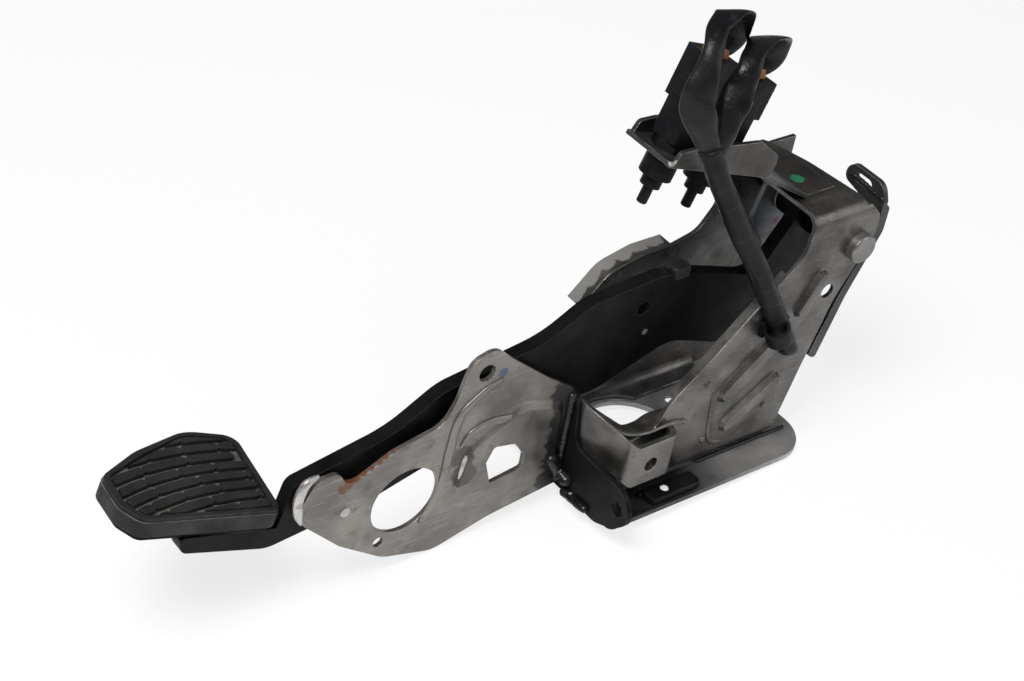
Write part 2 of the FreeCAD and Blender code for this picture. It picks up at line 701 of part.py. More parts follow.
def switch_block(s, width, depth, radius, n0, n1):
    corners = [
        (s - width / 2, -depth / 2, radius), (s + width / 2, -depth / 2, radius),
        (s + width / 2, depth / 2, radius), (s - width / 2, depth / 2, radius),
    ]
    return plate(corners, on_switch_plate(n0), SWITCH_AXIS * (n1 - n0))


def switch_levels():
    """Heights along the switch axis: plate underside, body end, neck end, collar top, housing top."""
    under = SWITCH_PLATE_N - SWITCH_PLATE_T
    body_end = under - SWITCH_BODY_H
    neck_end = body_end - SWITCH_NECK_H
    collar_top = SWITCH_PLATE_N + COLLAR_H
    housing_top = collar_top + HOUSING_H
    return under, body_end, neck_end, collar_top, housing_top


def switch_body(s):
    under, body_end, neck_end, collar_top, housing_top = switch_levels()
    shape = along_switch(s, SWITCH_BODY_R, body_end, under)
    shape = shape.fuse(along_switch(s, SWITCH_NECK_R, neck_end, body_end))
    shape = shape.fuse(along_switch(s, THREAD_R, under, collar_top))
    shape = shape.fuse(switch_block(s, HOUSING_WIDTH, HOUSING_DEPTH, 2.5, collar_top, housing_top))
    bore_end = neck_end + PLUNGER_IN + PLUNGER_STROKE + 1
    return shape.cut(along_switch(s, PLUNGER_R + PLUNGER_CLEARANCE, neck_end - 1, bore_end)).removeSplitter()


def lock_collar(s):
    under, body_end, neck_end, collar_top, housing_top = switch_levels()
    corners = []
    for i in range(6):
        turn = math.radians(60 * i)
        corners.append((s + COLLAR_R * math.cos(turn), COLLAR_R * math.sin(turn), 1.2))
    shape = plate(corners, on_switch_plate(SWITCH_PLATE_N), SWITCH_AXIS * COLLAR_H)
    return shape.cut(along_switch(s, THREAD_R + BOLT_CLEARANCE, SWITCH_PLATE_N - 1, collar_top + 1))


def plunger(s):
    neck_end = switch_levels()[2]
    shape = along_switch(s, PLUNGER_R, neck_end - PLUNGER_OUT, neck_end + PLUNGER_IN)
    tip = switch_point(s, 0, neck_end - PLUNGER_OUT)
    ring = [edge for edge in shape.Edges if (edge.BoundBox.Center - tip).Length < 0.5]
    return shape.makeFillet(0.9, ring)


def plug_top(index):
    return switch_levels()[4] + PLUG_H[index]


def connector(index):
    """A plugged-on connector: a body with grip steps on one side and a locking tongue on the other."""
    s = SWITCH_S[index]
    base = switch_levels()[4]
    top = plug_top(index)
    shape = switch_block(s, PLUG_WIDTH, PLUG_DEPTH, 2.0, base, top)
    steps = 3
    pitch = (top - base) / steps
    for i in range(steps):
        low = base + i * pitch
        corners = [
            (s + PLUG_WIDTH / 2 - 1, low + 1.5, 0.5), (s + PLUG_WIDTH / 2 + 1.6, low + 1.5, 0.8),
            (s + PLUG_WIDTH / 2 + 1.6, low + pitch - 3, 0.8), (s + PLUG_WIDTH / 2 - 1, low + pitch - 3, 0.5),
        ]
        grip = plate(corners, on_switch_side(-PLUG_DEPTH / 2 + 2), V(0, PLUG_DEPTH - 4, 0))
        shape = shape.fuse(grip)
    tongue = [
        (s - PLUG_WIDTH / 2 - 2.4, base + 3, 0.8), (s - PLUG_WIDTH / 2 + 1, base + 3, 0.5),
        (s - PLUG_WIDTH / 2 + 1, top - 5, 0.5), (s - PLUG_WIDTH / 2 - 2.4, top - 8, 0.8),
    ]
    shape = shape.fuse(plate(tongue, on_switch_side(-4), V(0, 8, 0)))
    return shape.removeSplitter()


def connector_seal(index):
    s = SWITCH_S[index]
    top = plug_top(index)
    return switch_block(s, SEAL_WIDTH, SEAL_WIDTH, 2.5, top, top + SEAL_H)


def tube(points, radius):
    """A round tube along straight runs joined by tangent arcs as large as the runs allow."""
    edges = []
    start = points[0]
    for i in range(1, len(points) - 1):
        here = points[i]
        back = points[i - 1] - here
        ahead = points[i + 1] - here
        turn = math.pi - back.getAngle(ahead)
        shorter = min(back.Length, ahead.Length)
        reach = 0.45 * shorter
        bend = reach / math.tan(turn / 2)
        back.normalize()
        ahead.normalize()
        enter = here + back * reach
        leave = here + ahead * reach
        centre = here + (back + ahead).normalize() * math.hypot(bend, reach)
        middle = centre + (here - centre).normalize() * bend
        edges.append(Part.LineSegment(start, enter).toShape())
        edges.append(Part.Arc(enter, middle, leave).toShape())
        start = leave
        print("bend radius", round(bend, 1))
    edges.append(Part.LineSegment(start, points[-1]).toShape())
    path = Part.Wire(edges)
    first = (points[1] - points[0]).normalize()
    section = Part.Wire(Part.Circle(points[0], first, radius).toShape())
    solid = path.makePipeShell([section], True, True)
    swept = math.pi * radius ** 2 * path.Length
    print("tube length", round(path.Length), "volume over swept section", round(solid.Volume / swept, 4))
    return solid


def trunk_points():
    """From the thin end of the taped joint, straight down to the clip on the near wall."""
    clear_y = -WALL_OUT - CLIP_FOOT_T - TRUNK_R
    start = JOINT + joint_axis() * JOINT_LENGTH
    return [start, TRUNK_TURN, V(34, clear_y, 114), V(TRUNK_END_X, clear_y, TRUNK_END_Z)]


def joint_axis():
    """Direction of the trunk where the two branches are taped together."""
    return (TRUNK_TURN - JOINT).normalize()


def harness_trunk():
    return tube(trunk_points(), TRUNK_R)


def harness_joint():
    """The taped knot where the branches join: widest at the branches, as thin as the trunk below."""
    return Part.makeCone(BRANCH_APART / 2 + BRANCH_R, TRUNK_R, JOINT_LENGTH, JOINT, joint_axis())


def branch_points(index):
    """From the top of a connector seal up, over to the trunk's side and down to the taped joint."""
    seal_top = switch_point(SWITCH_S[index], 0, plug_top(index) + SEAL_H)
    along = joint_axis()
    side = (V(1, 0, 0) - along * along.x).normalize()
    end = JOINT + side * ((2 * index - 1) * BRANCH_APART / 2)
    if index == 0:
        steps = ((2, -9, 14), (-2, -19, 9), (-9, -23, -4), (-19, -26, -21))
    else:
        steps = ((1, -10, 13), (-4, -20, 10), (-14, -23, 3), (-28, -26, -3))
    bends = [seal_top + V(*step) for step in steps]
    return [seal_top, seal_top + SWITCH_AXIS * 8] + bends + [end - along * 15, end]


def harness_branch(index):
    return tube(branch_points(index), BRANCH_R)


def harness_clip():
    end = trunk_points()[-1]
    along = (trunk_points()[-1] - trunk_points()[-2]).normalize()
    centre = end - along * (CLIP_LENGTH / 2 + 4)
    start = centre - along * (CLIP_LENGTH / 2)
    ring = Part.makeCylinder(TRUNK_R + CLIP_WALL, CLIP_LENGTH, start, along)
    corners = [
        (centre.x - 7, centre.z - 5, 2), (centre.x + 13, centre.z - 5, 3), (centre.x + 13, centre.z + 5, 3),
        (centre.x - 7, centre.z + 5, 2),
    ]
    foot = plate(corners, on_xz(-WALL_OUT - CLIP_FOOT_T), V(0, CLIP_FOOT_T, 0))
    behind = Part.makeBox(80, 40, 80, V(centre.x - 40, -WALL_OUT, centre.z - 40))
    return ring.fuse(foot).cut(behind).cut(Part.makeCylinder(TRUNK_R, 60, centre - along * 30, along))


def all_nodes():
    nodes = {
        "base_plate": base_plate(),
        "front_cross_panel": front_cross_panel(),
        "near_side_wall": near_side_wall(),
        "far_side_wall": far_side_wall(),
        "stay_plate": stay_plate(),
        "corner_strap": corner_strap(),
        "corner_web": corner_web(),
        "base_bar": base_bar(),
        "guide_blade": guide_blade(),
        "inner_plate": inner_plate(),
        "pivot_bolt": pivot_bolt(),
        "pivot_nut": pivot_nut(),
        "pivot_sleeve": pivot_sleeve(),
        "hub_bush_near": hub_bush("near"),
        "hub_bush_far": hub_bush("far"),
        "pedal_hub": pedal_hub(),
        "pedal_arm": pedal_arm(),
        "arm_bumper": bumper(),
        "pad_plate": pad_plate(),
        "pedal_pad": pedal_pad(),
        "switch_bracket": switch_bracket(),
        "harness_trunk": harness_trunk(),
        "harness_joint": harness_joint(),
        "harness_clip": harness_clip(),
    }
    for index, name in enumerate(("front", "rear")):
        s = SWITCH_S[index]
        nodes["switch_body_" + name] = switch_body(s)
        nodes["lock_collar_" + name] = lock_collar(s)
        nodes["plunger_" + name] = plunger(s)
        nodes["connector_" + name] = connector(index)
        nodes["connector_seal_" + name] = connector_seal(index)
        nodes["harness_branch_" + name] = harness_branch(index)
    return nodes


os.makedirs("parts", exist_ok=True)
for node, shape in all_nodes().items():
    print(node, shape.ShapeType, "solids", len(shape.Solids), "valid", shape.isValid(), round(shape.Volume))
    shape.exportStep("parts/" + node + ".step")
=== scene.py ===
import math
import random

import bmesh
import bpy
from mathutils import Matrix, Vector


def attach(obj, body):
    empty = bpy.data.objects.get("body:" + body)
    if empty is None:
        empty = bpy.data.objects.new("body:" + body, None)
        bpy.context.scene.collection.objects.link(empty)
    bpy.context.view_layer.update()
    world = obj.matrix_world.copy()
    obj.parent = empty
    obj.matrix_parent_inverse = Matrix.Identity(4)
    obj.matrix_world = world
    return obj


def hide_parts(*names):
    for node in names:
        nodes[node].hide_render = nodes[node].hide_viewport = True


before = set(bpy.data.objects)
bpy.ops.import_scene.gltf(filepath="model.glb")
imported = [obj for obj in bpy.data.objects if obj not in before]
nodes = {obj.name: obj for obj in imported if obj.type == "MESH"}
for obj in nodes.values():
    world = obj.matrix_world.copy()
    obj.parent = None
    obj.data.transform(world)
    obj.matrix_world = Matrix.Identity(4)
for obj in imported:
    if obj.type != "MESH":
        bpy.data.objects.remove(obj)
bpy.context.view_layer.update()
scene = bpy.context.scene
MM = 0.001


def mm(x, y, z):
    return Vector((x, y, z)) * MM


class Shader:
    """A principled material and short ways to add texture nodes to it, in the part's own coordinates."""

    def __init__(self, name):
        self.material = bpy.data.materials.new(name)
        self.material.use_nodes = True
        self.tree = self.material.node_tree
        self.bsdf = self.tree.nodes["Principled BSDF"]
        self.place = self.tree.nodes.new("ShaderNodeTexCoord").outputs["Object"]

    def node(self, kind, **inputs):
        made = self.tree.nodes.new(kind)
        for key, value in inputs.items():
            self.put(made.inputs[key.replace("_", " ")], value)
        return made

    def put(self, socket, value):
        if isinstance(value, bpy.types.NodeSocket):
            self.tree.links.new(value, socket)
        else:
            socket.default_value = value

    def math(self, operation, a, b=0.0):
        made = self.tree.nodes.new("ShaderNodeMath")
        made.operation = operation
        self.put(made.inputs[0], a)
        self.put(made.inputs[1], b)
        return made.outputs[0]

    def ramp(self, value, low, high, to_low=0.0, to_high=1.0):
        made = self.tree.nodes.new("ShaderNodeMapRange")
        made.interpolation_type = "SMOOTHSTEP"
        for i, x in enumerate((value, low, high, to_low, to_high)):
            self.put(made.inputs[i], x)
        return made.outputs[0]

    def noise(self, scale, detail=4.0, stretch=(1, 1, 1), turn=(0, 0, 0)):
        mapping = self.tree.nodes.new("ShaderNodeMapping")
        self.put(mapping.inputs["Vector"], self.place)
        mapping.inputs["Scale"].default_value = stretch
        mapping.inputs["Rotation"].default_value = turn
        made = self.node("ShaderNodeTexNoise", Vector=mapping.outputs[0], Scale=scale, Detail=detail)
        return made.outputs[0]

    def mix(self, factor, a, b):
        made = self.tree.nodes.new("ShaderNodeMix")
        made.data_type = "RGBA"
        for socket, value in zip((made.inputs[0], made.inputs[6], made.inputs[7]), (factor, a, b)):
            self.put(socket, value)
        return made.outputs[2]

    def near(self, point, radius, ragged=0.35):
        """1 inside a ball of that radius in mm about a point in mm, with a ragged edge, and 0 outside."""
        gap = self.tree.nodes.new("ShaderNodeVectorMath")
        gap.operation = "DISTANCE"
        self.put(gap.inputs[0], self.place)
        gap.inputs[1].default_value = mm(*point)
        rough = self.math("MULTIPLY", self.math("SUBTRACT", self.noise(260.0), 0.5), 2 * ragged * radius * MM)
        return self.ramp(self.math("ADD", gap.outputs["Value"], rough), radius * MM, radius * 0.8 * MM)

    def along(self, direction):
        """Distance in metres along a direction."""
        made = self.tree.nodes.new("ShaderNodeVectorMath")
        made.operation = "DOT_PRODUCT"
        self.put(made.inputs[0], self.place)
        made.inputs[1].default_value = direction
        return made.outputs["Value"]


def grey(value, warm=0.0):
    return (value * (1 + warm), value, value * (1 - warm), 1.0)


def metal(name, dark, light, warm=0.03, metallic=0.8, rough=(0.3, 0.55), edge=0.0, grain=(0, 0, 0), rust=0.0,
          rust_at=(), spots=(), bump=0.12, shine=0.5, near_strip=None):
    """Worn metal: blotches, drawn grain, fine scratches, lightened edges that are partly wear and partly a
    highlight laid into the colour, rust, and coloured spots.
    """
    s = Shader(name)
    s.bsdf.inputs["Specular IOR Level"].default_value = shine
    cloudy = s.ramp(s.noise(38.0, 6.0), 0.3, 0.7)
    colour = s.mix(cloudy, grey(dark, warm), grey(light, warm))
    drawn = s.noise(60.0, 5.0, (1, 1, 18), grain)
    colour = s.mix(s.ramp(drawn, 0.52, 0.75, 0.0, 0.5), colour, grey(light * 1.35, warm))
    dirt = s.ramp(s.noise(110.0, 8.0), 0.56, 0.72, 0.0, 0.65)
    colour = s.mix(dirt, colour, grey(dark * 0.4, warm * 2))
    scratch = s.ramp(s.noise(30.0, 3.0, (1.5, 40, 40), (0.3, 0.6, 0.2)), 0.68, 0.73, 0.0, 0.35)
    colour = s.mix(scratch, colour, grey(min(light * 2.2, 0.6)))
    bevel = s.node("ShaderNodeBevel", Radius=0.0007)
    bevel.samples = 4
    plain = s.tree.nodes.new("ShaderNodeNewGeometry")
    turn = s.tree.nodes.new("ShaderNodeVectorMath")
    turn.operation = "DOT_PRODUCT"
    s.put(turn.inputs[0], bevel.outputs[0])
    s.put(turn.inputs[1], plain.outputs["Normal"])
    # Edges are lightened where the bevelled normal turns away from the flat one. This is partly real wear and
    # partly a painted highlight for the light that rounded edges catch.
    edge_wear_and_highlight = s.math("MULTIPLY", s.ramp(turn.outputs["Value"], 0.995, 0.85), s.ramp(s.noise(70.0), 0.35, 0.6))
    colour = s.mix(s.math("MULTIPLY", edge_wear_and_highlight, edge), colour, grey(0.42, 0.02))
    metallic_value = s.math("MULTIPLY", s.math("SUBTRACT", 1.0, dirt), metallic)
    if rust:
        likely = s.math("ADD", s.noise(55.0, 9.0), s.math("MULTIPLY", edge_wear_and_highlight, 0.12))
        for point, radius in rust_at:
            likely = s.math("ADD", likely, s.math("MULTIPLY", s.near(point, radius), 0.16))
        rusty = s.ramp(likely, 0.74 - rust, 0.8 - rust)
        colour = s.mix(rusty, colour, (0.11, 0.036, 0.012, 1))
        metallic_value = s.math("MULTIPLY", metallic_value, s.math("SUBTRACT", 1.0, rusty))
    if near_strip:
        # Darkens the base along its near edge, fading out towards +X.
        dark_near_edge = s.math("MULTIPLY", s.ramp(s.along((0, -1, 0)), near_strip[0] * MM, (near_strip[0] + 2) * MM),
                         s.ramp(s.along((1, 0, 0)), (near_strip[1] + 90) * MM, near_strip[1] * MM))
        colour = s.mix(dark_near_edge, colour, grey(0.006))
        metallic_value = s.math("MULTIPLY", metallic_value, s.math("SUBTRACT", 1.0, dark_near_edge))
    roughness = s.ramp(s.noise(85.0, 5.0), 0.3, 0.7, rough[0], rough[1])
    # A spot's colour may be a coloured mark, a dark patch or a painted highlight.
    for point, radius, spot_colour, ragged in spots:
        there = s.near(point, radius, ragged)
        colour = s.mix(there, colour, (*spot_colour, 1))
        metallic_value = s.math("MULTIPLY", metallic_value, s.math("SUBTRACT", 1.0, there))
    lumps = s.node("ShaderNodeBump", Strength=bump, Distance=0.0004, Height=s.noise(420.0, 6.0),
                   Normal=bevel.outputs[0])
    for socket, value in (("Base Color", colour), ("Roughness", roughness), ("Metallic", metallic_value),
                          ("Normal", lumps.outputs[0])):
        s.put(s.bsdf.inputs[socket], value)
    return s.material


def soft(name, base, light, rough, grain=700.0, bump=0.2, tape=None, groove=None, shine=0.35):
    """Plastic, rubber or tape: cloudy, dusty, with a fine grain. Tape adds the steps of its windings, and
    groove the dust below a level along a direction."""
    s = Shader(name)
    s.bsdf.inputs["Specular IOR Level"].default_value = shine
    colour = s.mix(s.ramp(s.noise(45.0, 6.0), 0.35, 0.7), (*base, 1), (*light, 1))
    dusty = s.ramp(s.noise(160.0, 8.0), 0.6, 0.8, 0.0, 0.5)
    colour = s.mix(dusty, colour, (*[min(c * 1.6 + 0.004, 0.5) for c in light], 1))
    height = s.noise(grain, 6.0)
    if groove:
        direction, level, dust = groove
        depth = s.ramp(s.along(direction), (level + 2.1) * MM, (level + 1.2) * MM)
        facing = s.tree.nodes.new("ShaderNodeVectorMath")
        facing.operation = "DOT_PRODUCT"
        s.put(facing.inputs[0], s.tree.nodes.new("ShaderNodeNewGeometry").outputs["Normal"])
        facing.inputs[1].default_value = direction
        depth = s.math("MULTIPLY", depth, s.ramp(facing.outputs["Value"], 0.8, 0.9))
        colour = s.mix(s.math("MULTIPLY", depth, s.ramp(s.noise(90.0), 0.3, 0.6, 0.5, 1.0)), colour, (*dust, 1))
    if tape:
        direction, pitch = tape
        turns = s.along(Vector(direction).normalized() / (pitch * MM))
        wobble = s.math("ADD", turns, s.math("MULTIPLY", s.noise(60.0), 0.8))
        step = s.math("FRACT", wobble)
        height = s.math("ADD", s.math("MULTIPLY", step, 1.4), s.math("MULTIPLY", s.noise(220.0, 5.0), 0.8))
        colour = s.mix(s.ramp(step, 0.92, 1.0, 0.0, 0.5), colour, (*[c * 2.5 for c in light], 1))
    bevel = s.node("ShaderNodeBevel", Radius=0.0006)
    bevel.samples = 4
    lumps = s.node("ShaderNodeBump", Strength=bump, Distance=0.0006, Height=height, Normal=bevel.outputs[0])
    s.put(s.bsdf.inputs["Base Color"], colour)
    s.put(s.bsdf.inputs["Roughness"], s.ramp(s.noise(95.0, 5.0), 0.3, 0.7, rough[0], rough[1]))
    s.put(s.bsdf.inputs["Normal"], lumps.outputs[0])
    return s.material


GREEN = (0.02, 0.2, 0.09)
WHITE = (0.7, 0.7, 0.68)
PINK = (0.5, 0.04, 0.25)
SILVER = (0.35, 0.35, 0.34)
BLUE = (0.05, 0.08, 0.14)
STAY_DARK_PATCH = (0.05, 0.045, 0.04)
WELD_DOT = (0.4, 0.4, 0.38)
STAY_END_DARK = (0.008, 0.008, 0.008)
# Painted highlight colour for the far wall's turned lip.
LIP_HIGHLIGHT_GREY = (0.17, 0.165, 0.155)
SCRATCH = (0.15, 0.15, 0.15)
PAD_DUST = (0.11, 0.098, 0.084)
STAY_TOP_SLOPE = 0.55
PAD_TILT = math.radians(17.0)
PAD_NORMAL = Vector((math.sin(PAD_TILT), 0, math.cos(PAD_TILT)))
PAD_LEVEL = PAD_NORMAL.dot(Vector((-222.0, 0, 46.0)))
# Points of painted highlight along the far wall's turned lip.
FAR_LIP_HIGHLIGHT_AT = ((-19, 44, 78), (-11, 44, 86), (-3, 44, 93), (8, 44, 96), (18, 44, 98), (29, 44, 98))
STEEL = metal("wall_steel", 0.05, 0.15, 0.05, 0.85, (0.26, 0.45), edge=0.9, rust=0.02)
# Painted shade: a darker copy of the wall steel for the far wall, with painted highlights on its lip.
FAR_STEEL_PAINTED_LIGHT = metal("far_wall_steel_painted_light", 0.05, 0.12, 0.04, 0.85, (0.25, 0.45), edge=0.9, rust=0.01,
                  spots=[(point, 8, LIP_HIGHLIGHT_GREY, 0.3) for point in FAR_LIP_HIGHLIGHT_AT])
STAY = metal("stay_steel", 0.13, 0.22, 0.07, 0.85, (0.3, 0.5), edge=0.9, grain=(0, 0.5, 0), rust=0.03,
             rust_at=[((x, -10, 60 + STAY_TOP_SLOPE * (x + 191)), 5) for x in range(-199, -166, 4)],
             # Near-black patches on the stay around its short upright ridge.
             spots=(((-128, -11, 47), 7.5, STAY_DARK_PATCH, 0.5), ((-126, -11, 35), 8, STAY_DARK_PATCH, 0.5),
                    ((-111, -11, 95), 3.0, BLUE, 0.5), ((-197, -11, 38), 3.0, WELD_DOT, 0.4),
                    # Near-black patches over the stay's right end, beside the cross panel.
                    *[((-63, -11, z), 13, STAY_END_DARK, 0.4) for z in range(8, 65, 14)]))
# Painted highlight: a lighter copy of the steel for the stay's rolled lip and its short upright ridge, standing
# in for the light they catch.
LIP_HIGHLIT_STEEL = metal("lip_steel_painted_highlight", 0.34, 0.5, 0.03, 0.8, (0.25, 0.45), rust=0.01)
BASE = metal("base_steel", 0.3, 0.42, 0.02, 0.85, (0.35, 0.55), edge=0.4, near_strip=(33.0, -5.0))
BLACK = metal("black_paint", 0.003, 0.007, 0.0, 0.0, (0.3, 0.5), edge=0.1, shine=0.08,
              spots=(((-14, -47, 7.5), 2.6, WHITE, 0.3), ((-10, -4, 81.6), 2.2, SCRATCH, 0.9)))
SEAT = metal("bracket_steel", 0.045, 0.1, 0.06, 0.8, (0.3, 0.5), edge=0.9,
             spots=(((78, -4, 153.4), 4.2, GREEN, 0.25), ((-33, -18, 202), 3.0, SILVER, 0.2)))
BLADE = metal("blade_steel", 0.02, 0.05, 0.03, 0.6, (0.3, 0.5), edge=0.7)
INNER = metal("inner_steel", 0.16, 0.24, -0.08, 0.6, (0.4, 0.6), edge=0.6,
              spots=(((98, 19, 106), 2.6, PINK, 0.6), ((102, 19, 91), 3.0, WHITE, 0.3)))
BOLT = metal("bolt_steel", 0.12, 0.22, 0.03, 0.8, (0.3, 0.5), edge=0.4)
RUBBER = soft("pad_rubber", (0.007, 0.007, 0.007), (0.016, 0.015, 0.015), (0.5, 0.75),
              groove=(PAD_NORMAL, PAD_LEVEL, PAD_DUST))
PLASTIC = soft("switch_plastic", (0.003, 0.003, 0.004), (0.009, 0.009, 0.01), (0.35, 0.6), shine=0.12)
AMBER = soft("seal_amber", (0.3, 0.1, 0.02), (0.5, 0.2, 0.05), (0.3, 0.5), 300.0, 0.1)
BUSH = soft("bush_plastic", (0.5, 0.47, 0.4), (0.65, 0.6, 0.5), (0.4, 0.6))
TAPE = soft("trunk_tape", (0.004, 0.004, 0.005), (0.01, 0.01, 0.011), (0.3, 0.5), 700.0, 0.35,
            ((0.44, -0.1, -0.89), 14.0), shine=0.12)
LOOP = soft("loop_tape", (0.004, 0.004, 0.005), (0.011, 0.011, 0.012), (0.25, 0.42), 500.0, 0.4, shine=0.22)

LOOKS = {
    "base_plate": BASE, "front_cross_panel": BLACK, "near_side_wall": STEEL, "far_side_wall": FAR_STEEL_PAINTED_LIGHT,
    "stay_plate": STAY, "corner_strap": STEEL, "corner_web": BLACK, "base_bar": BLACK, "guide_blade": BLADE,
    "inner_plate": INNER, "pivot_bolt": BOLT, "pivot_nut": BOLT, "pivot_sleeve": BOLT, "hub_bush_near": BUSH,
    "hub_bush_far": BUSH, "pedal_hub": BLACK, "pedal_arm": BLACK, "arm_bumper": RUBBER, "pad_plate": BLACK,
    "pedal_pad": RUBBER, "switch_bracket": SEAT, "harness_trunk": TAPE, "harness_joint": TAPE,
    "harness_clip": PLASTIC,
}
for end in ("front", "rear"):
    for name in ("switch_body_", "lock_collar_", "plunger_", "connector_"):
        LOOKS[name + end] = PLASTIC
    LOOKS["connector_seal_" + end] = AMBER
    LOOKS["harness_branch_" + end] = LOOP
for name, look in LOOKS.items():
    nodes[name].data.materials.clear()
    nodes[name].data.materials.append(look)

RNG = random.Random(7)


def add_mesh(name, mesh, look, body):
    """Put a mesh in the scene as a smooth piece that rides on a body."""
    mesh.name = name
    piece = bpy.data.objects.new(name, mesh)
    scene.collection.objects.link(piece)
    mesh.materials.append(look)
    for polygon in mesh.polygons:
        polygon.use_smooth = True
    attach(piece, body)
    return piece


def weld(name, points, width, look):
    """A weld bead: overlapping flattened drops along a line of points in mm."""
    made = bmesh.new()
    for a, b in zip(points, points[1:]):
        a, b = Vector(a), Vector(b)
        count = max(2, int((b - a).length / (width * 0.28)))
        for i in range(count + 1):
            at = a.lerp(b, i / count)
            size = width * (0.46 + 0.08 * RNG.random())
            where = Matrix.Translation(at * MM) @ Matrix.Diagonal((size * MM, size * MM, size * 0.85 * MM, 1))
            bmesh.ops.create_icosphere(made, subdivisions=2, radius=1.0, matrix=where)
    mesh = bpy.data.meshes.new(name)
    made.to_mesh(mesh)
    made.free()
    return add_mesh(name, mesh, look, "bracket")


# Painted highlight: the small silver spots on the black weld stand in for glints.
WELD = metal("weld_metal", 0.004, 0.02, 0.02, 0.3, (0.2, 0.4), bump=0.6, shine=0.4,
             spots=(((-63, -15, 15), 2.0, SILVER, 0.9), ((-60, -24, 5), 1.4, SILVER, 0.9)))
weld("weld_stay_outer", [(-60.5, -11.5, 6), (-60.5, -11.5, 62)], 4.5, WELD)
weld("weld_stay_toe", [(-67, -12, 22), (-61, -13, 12), (-60, -19, 10)], 8.0, WELD)
weld("weld_bar", [(-26, -42, 3.5), (8, -42, 3.5)], 3.5, WELD)
# Painted shade: a thin dark bead along the near wall's foot, where only a shadow line lies between wall and
# base.
weld("foot_shade_line", [(20, -35.5, 4), (84, -35.5, 4)], 2.2, WELD)
weld("weld_panel_base", [(-59.5, -36, 3), (-59.5, -20, 1.5)], 6.0, WELD)
weld("weld_tab", [(114, -34, 149), (114, -10, 151)], 3.0, WELD)


def smooth_path(points, steps):
    """Points of a Catmull-Rom curve through rows of numbers, with a number of steps between two rows."""
    rows = [points[0]] + list(points) + [points[-1]]
    path = []
    for a, b, c, d in zip(rows, rows[1:], rows[2:], rows[3:]):
        for i in range(steps):
            t = i / steps
            path.append([0.5 * (2 * q + (r - p) * t + (2 * p - 5 * q + 4 * r - s) * t ** 2
                                + (3 * q - p - 3 * r + s) * t ** 3) for p, q, r, s in zip(a, b, c, d)])
    return path + [list(points[-1])]


TAPE_ACROSS = Vector((0.79, -0.59, 0.15))
RIBBON_STEPS = 8
RIBBON_SIDES = 20


def ribbon(name, rows, look, face=None):
    """A flat strand; each row is x, y, z, width and thickness in mm along its middle. Tape has its width along
    TAPE_ACROSS and soft creases; a ridge in sheet metal lies flat on the sheet's face direction."""
    rows = smooth_path(rows, RIBBON_STEPS)
    around = RIBBON_SIDES
    vertices = []
    for i, (x, y, z, width, thick) in enumerate(rows):
        after, before = rows[min(i + 1, len(rows) - 1)], rows[max(i - 1, 0)]
        run = (Vector(after[:3]) - Vector(before[:3])).normalized()
        wide = Vector(face).cross(run) if face else TAPE_ACROSS
        across = (wide - run * wide.dot(run)).normalized()
        out = run.cross(across)
        for j in range(around):
            turn = 2 * math.pi * j / around
            crease = 1.0
            if not face:
                crease = 1 + 0.04 * math.sin(3 * turn + 0.5 * i) + 0.03 * math.sin(0.4 * i + 2 * turn)
            side = across * (0.5 * width * crease * math.cos(turn))
            side += out * (0.5 * thick * crease * math.sin(turn))
            vertices.append((Vector((x, y, z)) + side) * MM)
    faces = []
    for i in range(len(rows) - 1):
        for j in range(around):
            k = (j + 1) % around
            faces.append((i * around + j, i * around + k, (i + 1) * around + k, (i + 1) * around + j))
    faces.append(tuple(reversed(range(around))))
    faces.append(tuple(range((len(rows) - 1) * around, len(rows) * around)))
    mesh = bpy.data.meshes.new(name)
    mesh.from_pydata(vertices, [], faces)
    return add_mesh(name, mesh, look, "bracket")


front_tape = ribbon("tape_front", [
    (-0.5, -1, 247, 10, 8), (4, -4, 258, 15, 3.5), (-2, -9, 271, 16, 3), (-12, -13, 276.5, 15, 3),
    (-22, -17, 274, 11, 4), (-30, -24, 268, 10, 5), (-35, -28, 257, 13, 5), (-38, -29, 246, 17, 5),
    (-36, -30, 236, 17, 6), (-30, -31, 225, 14, 8), (-23.5, -32, 213, 11, 10),
], LOOP)
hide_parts("harness_branch_front")
rear_tape = ribbon("tape_rear", [
    (29, -1, 230, 10, 8), (34, -4, 239, 15, 3.5), (29, -8, 250, 16, 3), (15, -13, 256.5, 16, 3),
    (2, -21, 257, 11, 4), (-5, -26, 252, 12, 5), (-10, -28, 243, 15, 5), (-15, -30, 234, 16, 6),
    (-19, -32, 224, 13, 8), (-22, -33, 213, 11, 10),
], LOOP)
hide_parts("harness_branch_rear", "harness_joint")
trunk_tape = ribbon("tape_trunk", [
    (-27, -33, 217, 11, 10), (-20, -33.5, 205, 11.5, 10.5), (-6, -34, 182, 12, 11), (11, -35, 156, 12, 11),
    (29, -38, 127, 12, 11), (46, -40, 99, 11.5, 10.5), (63, -40.5, 71, 11, 10),
], TAPE)
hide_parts("harness_trunk")


def sheet_piece(name, outline, y_near, y_far, look):
    """A flat sheet between two Y planes with an outline of x and z in mm."""
    count = len(outline)
    vertices = [mm(x, y, z) for y in (y_near, y_far) for x, z in outline]
    faces = [tuple(range(count)), tuple(reversed(range(count, 2 * count)))]
    faces += [(i, i + count, (i + 1) % count + count, (i + 1) % count) for i in range(count)]
    mesh = bpy.data.meshes.new(name)
    mesh.from_pydata(vertices, [], faces)
    piece = add_mesh(name, mesh, look, "bracket")
    for polygon in mesh.polygons:
        polygon.use_smooth = False
    return piece


